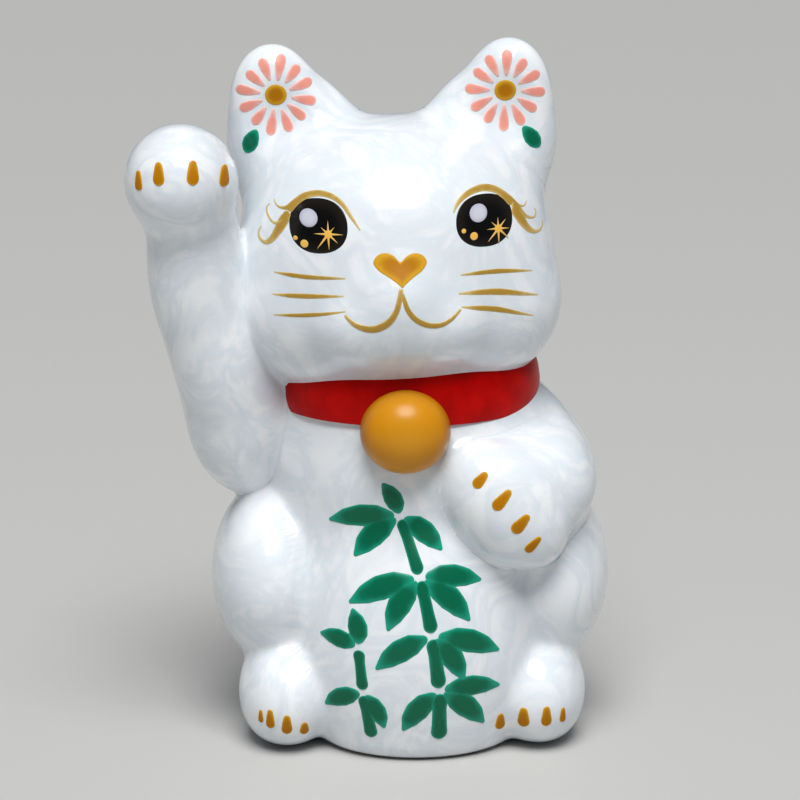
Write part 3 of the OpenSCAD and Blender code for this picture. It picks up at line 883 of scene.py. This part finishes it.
# %% [markdown]
# ### Nose, claws and ears
# The nose is a heart-shaped pool of ochre, and each claw is a short fat stroke of the same enamel.
# The flower in each ear is a ring of single brush dabs round an ochre dot, with one leaf below it.

# %% Nose
NOSE = [(0.1, 28.0), (1.5, 29.1), (3.1, 29.6), (4.7, 29.1), (5.5, 27.7), (4.6, 26.2),
        (2.6, 24.9), (1.0, 23.7), (0.3, 23.1), (-0.4, 23.7), (-2.2, 25.0), (-4.3, 26.3),
        (-5.4, 27.8), (-4.5, 29.3), (-2.8, 29.8), (-1.2, 29.2)]
nose_mark = puddle(through(NOSE, 120, closed=True), (0.1, 26.6), 0.2, rings=16)
paint("ochre_nose", [nose_mark], "nose")


# %% Claws
def claw(x, z, long, wide, lean=0):
    """One dab of the brush, fatter at its lower end: leaning 0 hangs straight down."""
    along = np.array([math.sin(math.radians(lean)), math.cos(math.radians(lean))])
    tip, root = np.array([x, z]) + along * long / 2, np.array([x, z]) - along * long / 2
    widths = wide * np.array([0.5, 0.8, 1, 0.95])
    return stroke([tip, (x, z), root], widths, 0.18, 40, 24)


CLAWS = {
    "raised_paw_claws": ("raised_claws", [(-56.1, 124.2, 4.0, 1.6), (-51.9, 125.9, 4.6, 2.4),
                                          (-45.0, 126.1, 4.8, 2.5), (-38.8, 124.9, 4.3, 2.0)], 0),
    "lowered_paw_claws": ("lowered_claws", [(13.4, 62.2, 4.0, 2.2), (17.8, 58.3, 5.2, 2.5),
                                            (21.7, 53.2, 4.9, 2.7), (24.4, 48.4, 4.4, 2.1)], 42),
    "right_foot_claw_set": ("left_foot_claws", [(-32.6, 9.2, 3.0, 1.1), (-30.6, 9.0, 4.4, 1.9),
                                                (-27.1, 7.9, 4.6, 2.3), (-23.4, 6.6, 3.1, 2.0)], 0),
    "left_foot_claw_set": ("right_foot_claws", [(18.3, 7.6, 3.9, 2.2), (23.2, 8.7, 4.6, 2.5),
                                                (28.0, 9.2, 4.6, 2.3), (31.6, 9.0, 3.5, 1.4)], 0)}
for name, (node, claws, lean) in CLAWS.items():
    paint(name, [claw(*c, lean) for c in claws], node, leaning=False)

# %% Flowers and leaves in the ears
petals = 12
flower_marks, dot_marks, leaf_marks = [], [], []
for x, z, first_way in ((-24.3, 59.3, 10), (23.9, 58.9, 4)):
    for i in range(petals):
        way = math.radians(first_way + 360 * i / petals)
        out = np.array([math.sin(way), math.cos(way)])
        near, far = 3.0 + 0.25 * (i % 2), 8.5 - 0.35 * ((i * 5) % 3)
        dab = [np.array([x, z]) + out * r for r in (near, (near + far) / 2, far)]
        flower_marks.append(stroke(dab, [0.5, 1.3, 2.0, 2.2, 1.9], 0.12, 32, 18))
    dot_marks.append(puddle(oval((x, z), 4.6, 4.4, count=64), proud=0.18))
for line in ([(-28.6, 52.2), (-29.8, 49.9), (-31.0, 47.4)], [(27.5, 51.3), (29.1, 49.2), (30.9, 46.8)]):
    leaf_marks.append(stroke(line, [0.9, 2.6, 3.4, 3.0, 1.2], 0.16, 40, 24))
paint("petal_dabs", flower_marks, "ear_petals")
paint("flower_dots", dot_marks, "ear_flower_centres")
paint("leaf_dabs", leaf_marks, "ear_leaves")

# %% [markdown]
# ### Bamboo on the belly
# A plain spray of bamboo fills the belly, in the thick green enamel of the real cat's brushwork.
# Each length of the stem and each leaf is one stroke, which starts fat and pulls away to a point.

# %% Bamboo spray
STEMS = [(3.8, [(5, 5), (5, 17), (3.5, 29), (1, 41), (-3, 53)]), (3.0, [(-9, 5), (-11, 16), (-12, 26)])]
LEAVES = [((5, 17), 140, 12, 5), ((5, 17), -132, 13, 5), ((5, 17), -92, 13, 4.6),
          ((3.5, 29), 122, 14, 5), ((3.5, 29), -146, 12, 4.8), ((3.5, 29), -108, 15, 5),
          ((1, 41), 112, 16, 5), ((1, 41), 148, 13, 5), ((1, 41), -132, 14, 5), ((1, 41), -96, 13, 4.6),
          ((-3, 53), 98, 15, 4.8), ((-3, 53), 132, 13, 4.8), ((-3, 53), -128, 11, 4.6),
          ((-3, 53), 28, 8, 4), ((-11, 16), 118, 9, 4.2), ((-11, 16), -150, 9, 4),
          ((-12, 26), 80, 8, 4), ((-12, 26), 8, 8, 4.2)]
spray_marks = []
for thick, joints in STEMS:
    for i, (foot, head_end) in enumerate(zip(joints[:-1], joints[1:])):
        a, b = np.array(foot, float), np.array(head_end, float)
        way = (b - a) / np.linalg.norm(b - a)
        wide = thick - 0.3 * i
        line = [a + 0.7 * way, (a + b) / 2, b - 0.7 * way]
        spray_marks.append(stroke(line, [wide, wide * 0.85, wide * 0.8, wide], 0.2))
for (x, z), lean, long, wide in LEAVES:
    way = np.array([-math.sin(math.radians(lean)), math.cos(math.radians(lean))])
    droop = np.array([way[1], -way[0]]) * math.copysign(0.06 * long, lean)
    start = np.array([x, z])
    line = [start + way * long * s + droop * (4 * s * (1 - s)) for s in (0.08, 0.35, 0.65, 1)]
    spray_marks.append(stroke(line, [1.3, wide * 0.9, wide, wide * 0.75, 0.5], 0.2, 56, 24))
paint("bamboo_spray", spray_marks, "belly_spray", leaning=False)

# %% [markdown]
# ## Finishes
# Every finish is a Principled shader. Values that are the same all over go straight on its
# sockets. Patterns read Object coordinates, which are metres here, so a scale of 1000 is one
# repeat in a millimetre, and the enamels also read the pool value of their points.

# %% Material helpers
def feed(tree, socket, value):
    """Links a socket to another node's output, or sets it to a plain number or colour."""
    if isinstance(value, bpy.types.NodeSocket):
        tree.links.new(value, socket)
    else:
        socket.default_value = value


def new_finish(name, **sockets):
    """A material with a Principled shader, its plain sockets set by name."""
    material = bpy.data.materials.new(name)
    material.use_nodes = True
    shader = material.node_tree.nodes["Principled BSDF"]
    for socket, value in sockets.items():
        feed(material.node_tree, shader.inputs[socket.replace("_", " ")], value)
    return material, material.node_tree, shader


def node_of(tree, kind, settings=None, **sockets):
    """A node of one kind, with its settings made first and its sockets fed by name."""
    made = tree.nodes.new(kind)
    for key, value in (settings or {}).items():
        setattr(made, key, value)
    for socket, value in sockets.items():
        feed(tree, made.inputs[socket.replace("_", " ")], value)
    return made


def math_of(tree, operation, *values):
    """The result of a Math node, whose sockets are fed in order."""
    made = node_of(tree, "ShaderNodeMath", {"operation": operation})
    for socket, value in zip(made.inputs, values):
        feed(tree, socket, value)
    return made.outputs[0]


def noise_of(tree, coords, settings=None, **sockets):
    """The value of a noise pattern that follows some coordinates."""
    return node_of(tree, "ShaderNodeTexNoise", settings, Vector=coords, **sockets).outputs["Fac"]


def mixed(tree, share, first, second):
    """A colour that goes from the first to the second as the share goes from zero to one."""
    made = node_of(tree, "ShaderNodeMix", {"data_type": "RGBA"}, Factor=share, A=first, B=second)
    return made.outputs["Result"]


def ramp_of(tree, value, stops, smooth="LINEAR"):
    """A colour ramp fed by value, with stops of (position, colour)."""
    made = node_of(tree, "ShaderNodeValToRGB", Fac=value)
    made.color_ramp.interpolation = smooth
    for i, (position, colour) in enumerate(stops):
        stop = made.color_ramp.elements[i] if i < 2 else made.color_ramp.elements.new(position)
        stop.position, stop.color = position, (*colour, 1)
    return made.outputs["Color"]


def object_coords(tree):
    return node_of(tree, "ShaderNodeTexCoord").outputs["Object"]


def bumped(tree, shader, height, distance, strength=0.4):
    """Feeds a height pattern into the shader's normal; distance is in millimetres."""
    bump = node_of(tree, "ShaderNodeBump", Strength=strength, Distance=distance * MM, Height=height)
    tree.links.new(bump.outputs["Normal"], shader.inputs["Normal"])


# %% [markdown]
# The white glaze is a crystal glaze: while it cools, flat feathery crystals grow in it, cool white
# on a faintly bluer ground. Slow bent noise gives the drifts of bluer and whiter glaze, and a
# ridged noise, bent as well, gives the feathers. In the creases the glaze gathers, and there the
# colour is painted a darker blue-grey as painted shade. Below the first fraction of a millimetre
# the foot was wiped clean, so it shows bare, matt porcelain.

# %% White crystal glaze
crystal_white = (0.93, 0.935, 0.94, 1)
# painted shade: the dark blue-grey that the creases are mixed towards
crease_shade_grey = (0.55, 0.60, 0.65, 1)
bare_porcelain = (0.62, 0.60, 0.55, 1)
glaze, tree, shader = new_finish("crystal_glaze", IOR=1.5, Coat_Weight=0.4, Coat_Roughness=0.04,
                                 Subsurface_Weight=0.1, Subsurface_Scale=1.2 * MM)
coords = object_coords(tree)
drifts = noise_of(tree, coords, Scale=55.0, Detail=5.0, Roughness=0.55, Distortion=1.8)
ground = ramp_of(tree, drifts, [(0.36, (0.82, 0.84, 0.86)), (0.5, (0.70, 0.755, 0.80)),
                                (0.64, (0.80, 0.825, 0.85))], "EASE")
feathers = noise_of(tree, coords, {"noise_type": "RIDGED_MULTIFRACTAL"}, Scale=75.0, Detail=6.0,
                    Roughness=0.5, Distortion=1.4)
veins = ramp_of(tree, feathers, [(0.4, (0, 0, 0)), (0.85, (0.9, 0.9, 0.9))], "EASE")
crystal = mixed(tree, veins, ground, crystal_white)
# crease depth mixes the painted shade into the glaze colour, up to a little over half
gathered_and_shaded = node_of(tree, "ShaderNodeAttribute", {"attribute_name": "pool"}).outputs["Fac"]
crease_shaded_glaze = mixed(tree, math_of(tree, "MULTIPLY", gathered_and_shaded, 0.55), crystal, crease_shade_grey)
height_of = node_of(tree, "ShaderNodeSeparateXYZ", Vector=coords).outputs["Z"]
wiped = node_of(tree, "ShaderNodeMapRange", {"interpolation_type": "SMOOTHSTEP"}, Value=height_of,
                From_Min=0.25 * MM, From_Max=0.7 * MM, To_Min=1.0, To_Max=0.0).outputs["Result"]
skin = mixed(tree, wiped, crease_shaded_glaze, bare_porcelain)
rough = node_of(tree, "ShaderNodeMapRange", Value=wiped, To_Min=0.16, To_Max=0.6).outputs["Result"]
tree.links.new(skin, shader.inputs["Base Color"])
tree.links.new(rough, shader.inputs["Roughness"])
bumped(tree, shader, noise_of(tree, coords, Scale=240.0, Detail=2.0, Roughness=0.4), 0.15)

# %% [markdown]
# The enamels share one recipe. Where the brush left more, in the middle of a stroke, the colour is
# deeper; at the rim it is thinner and lighter, and noise breaks up the change. The gold is a thin
# lustre over white, so it is a warm tan colour with a soft shine and not a bright metal.

# %% Enamels
def enamel(name, rim, middle, roughness=0.3, shine=0.22, grain=900.0, mottle=0.35):
    """Enamel whose colour goes from rim to middle with the pool value, mottled by noise."""
    made, tree, shader = new_finish(name, Roughness=roughness, Specular_IOR_Level=shine)
    pool = node_of(tree, "ShaderNodeAttribute", {"attribute_name": "pool"}).outputs["Fac"]
    cloud = noise_of(tree, object_coords(tree), Scale=grain, Detail=3.0, Roughness=0.6)
    level = math_of(tree, "SUBTRACT", pool, mottle / 2)
    shifted = math_of(tree, "MULTIPLY_ADD", cloud, mottle, level)
    colour = ramp_of(tree, shifted, [(0.15, rim), (0.85, middle)], "EASE")
    tree.links.new(colour, shader.inputs["Base Color"])
    bumped(tree, shader, cloud, 0.03)
    return made


FINISHES = {
    "green": enamel("green_pool", (0.01, 0.30, 0.19), (0.0, 0.115, 0.055), grain=420.0, mottle=0.4),
    "ochre": enamel("ochre_pool", (0.60, 0.32, 0.02), (0.42, 0.16, 0.002), 0.4, 0.08),
    "pink": enamel("salmon_dab", (0.84, 0.50, 0.45), (0.74, 0.28, 0.22), mottle=0.5),
    "gold": enamel("gold_film", (0.60, 0.44, 0.17), (0.38, 0.22, 0.03), 0.35, 0.3, mottle=0.6),
    "pale_gold": enamel("pale_gold_dot", (0.72, 0.46, 0.14), (0.80, 0.44, 0.07)),
    "black": enamel("black_pool", (0.010, 0.008, 0.006), (0.002, 0.002, 0.002), 0.15, mottle=0.2),
    "lilac": enamel("lilac_spot", (0.44, 0.44, 0.54), (0.54, 0.54, 0.62), 0.25),
}
print("enamels:", sorted(FINISHES))

# %% [markdown]
# The collar and the bell are coloured glazes, thicker than the enamels. The red lies unevenly, so
# slow noise shifts it between scarlet and a deeper red. The bell's ochre turns darker in a line
# round the rim of its dome, which its distance from its middle tells.

# %% Red collar, ochre bell and rubber stopper
red, tree, shader = new_finish("red_band_glaze", Roughness=0.35, Specular_IOR_Level=0.08)
uneven = noise_of(tree, object_coords(tree), Scale=120.0, Detail=4.0, Roughness=0.6)
reds = ramp_of(tree, uneven, [(0.3, (0.36, 0.0, 0.0)), (0.7, (0.60, 0.002, 0.0))])
tree.links.new(reds, shader.inputs["Base Color"])
bumped(tree, shader, uneven, 0.1)

bell_glaze, tree, shader = new_finish("bell_ochre_glaze", Roughness=0.28, Specular_IOR_Level=0.25)
coords = object_coords(tree)
away = node_of(tree, "ShaderNodeVectorMath", {"operation": "DISTANCE"})
feed(tree, away.inputs[0], coords)
feed(tree, away.inputs[1], tuple(bell_mid * MM))
to_rim = node_of(tree, "ShaderNodeMapRange", Value=away.outputs["Value"],
                 From_Min=bell_bulge * MM, From_Max=bell_half[0] * MM).outputs["Result"]
ochres = ramp_of(tree, to_rim, [(0.0, (0.58, 0.25, 0.008)), (0.7, (0.56, 0.22, 0.004)),
                                (0.98, (0.40, 0.14, 0.002))])
tree.links.new(ochres, shader.inputs["Base Color"])
bumped(tree, shader, noise_of(tree, coords, Scale=700.0, Detail=3.0), 0.04)

rubber, tree, shader = new_finish("grey_rubber", Roughness=0.6, Specular_IOR_Level=0.35)
bloom = noise_of(tree, object_coords(tree), Scale=500.0, Detail=5.0, Roughness=0.7)
greys = ramp_of(tree, bloom, [(0.3, (0.055, 0.055, 0.055)), (0.75, (0.10, 0.10, 0.098))])
tree.links.new(greys, shader.inputs["Base Color"])
bumped(tree, shader, bloom, 0.05, 0.5)

# %% Give each piece its finish
WEARS = {
    "body_casting head_casting left_ear right_ear tail_casting": glaze,
    "raised_arm_casting lowered_arm_casting": glaze,
    "collar_band": red, "bell_dome": bell_glaze, "stopper_plug": rubber,
    "eye_pools": FINISHES["black"], "eye_spots": FINISHES["lilac"], "eye_stars": FINISHES["pale_gold"],
    "gold_eyelids gold_whiskers gold_lips": FINISHES["gold"],
    "ochre_nose flower_dots " + " ".join(CLAWS): FINISHES["ochre"],
    "petal_dabs": FINISHES["pink"], "leaf_dabs bamboo_spray": FINISHES["green"]}
for names, material in WEARS.items():
    for name in names.split():
        MADE[name].data.materials.clear()
        MADE[name].data.materials.append(material)
print("finished pieces:", len(MADE))

# %% [markdown]
# ## Table, light and camera
# The cat stands on a plain pale table. Wide soft light comes from above, a little from the front,
# and one softbox in front and above puts the highlight on the forehead and the bell. A pale room
# fills the shadows. Colours are shown as they are, without a film curve.

# %% Table
half = 3.0
corners = [(-half, -half, 0), (half, -half, 0), (half, half, 0), (-half, half, 0)]
table_mesh = bpy.data.meshes.new("table_top")
table_mesh.from_pydata(corners, [], [(0, 1, 2, 3)])
table_top = in_scene("table_top", table_mesh)
table_grey = (0.505, 0.50, 0.485, 1)
table_mesh.materials.append(new_finish("table_paint", Roughness=0.55, Base_Color=table_grey)[0])
table_top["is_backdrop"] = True


# %% Studio light
def softbox(name, place_at, aim, width, height, watts):
    """A rectangular area light turned to face its aim, in metres."""
    light = bpy.data.lights.new(name, "AREA")
    light.shape, light.size, light.size_y = "RECTANGLE", width, height
    light.energy = watts
    lamp = in_scene(name, light)
    lamp.location = place_at
    way = np.array(aim) - np.array(place_at)
    down = math.atan2(math.hypot(way[0], way[1]), -way[2])
    lamp.rotation_euler = (down, 0, math.atan2(-way[0], way[1]))


middle_of_cat = (0, 0, 0.08)
softbox("front_softbox", (0.0, -0.60, 0.80), middle_of_cat, 0.42, 0.20, 1.8)
sun = bpy.data.lights.new("overhead_light", "SUN")
sun.energy, sun.angle = 3.1, math.radians(35)
overhead = in_scene("overhead_light", sun)
overhead.rotation_euler = (math.radians(25), 0, math.radians(2))
world = bpy.data.worlds.new("pale_room")
bpy.context.scene.world = world
world.use_nodes = True
pale_room = world.node_tree.nodes["Background"].inputs
pale_room["Color"].default_value, pale_room["Strength"].default_value = (0.76, 0.80, 0.86, 1), 0.21
bpy.context.scene.view_settings.view_transform = "Standard"

# %% Camera
camera = bpy.data.cameras.new("camera")
camera.sensor_width, camera.lens = 36, 128.9
eye = in_scene("camera", camera)
look_up, look_round, look_far = math.radians(13), math.radians(-2), 0.620
aim = np.array([-0.00216, 0, 0.072])
back = np.array([math.sin(look_round) * math.cos(look_up), -math.cos(look_round) * math.cos(look_up),
                 math.sin(look_up)])
eye.location = aim + back * look_far
eye.rotation_euler = (math.pi / 2 - look_up, 0, look_round)
camera.clip_start, camera.clip_end = 0.01, 20
bpy.context.scene.camera = eye

# %% [markdown]
# Last, the box round all the visual pieces is printed. It should agree with the imported model's
# box to a fraction of a millimetre, because each piece was worked out from the same forms.

# %% Sizes and finish
low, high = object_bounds()
print("visual:", [round(v / MM, 1) for v in (*low, *high)])
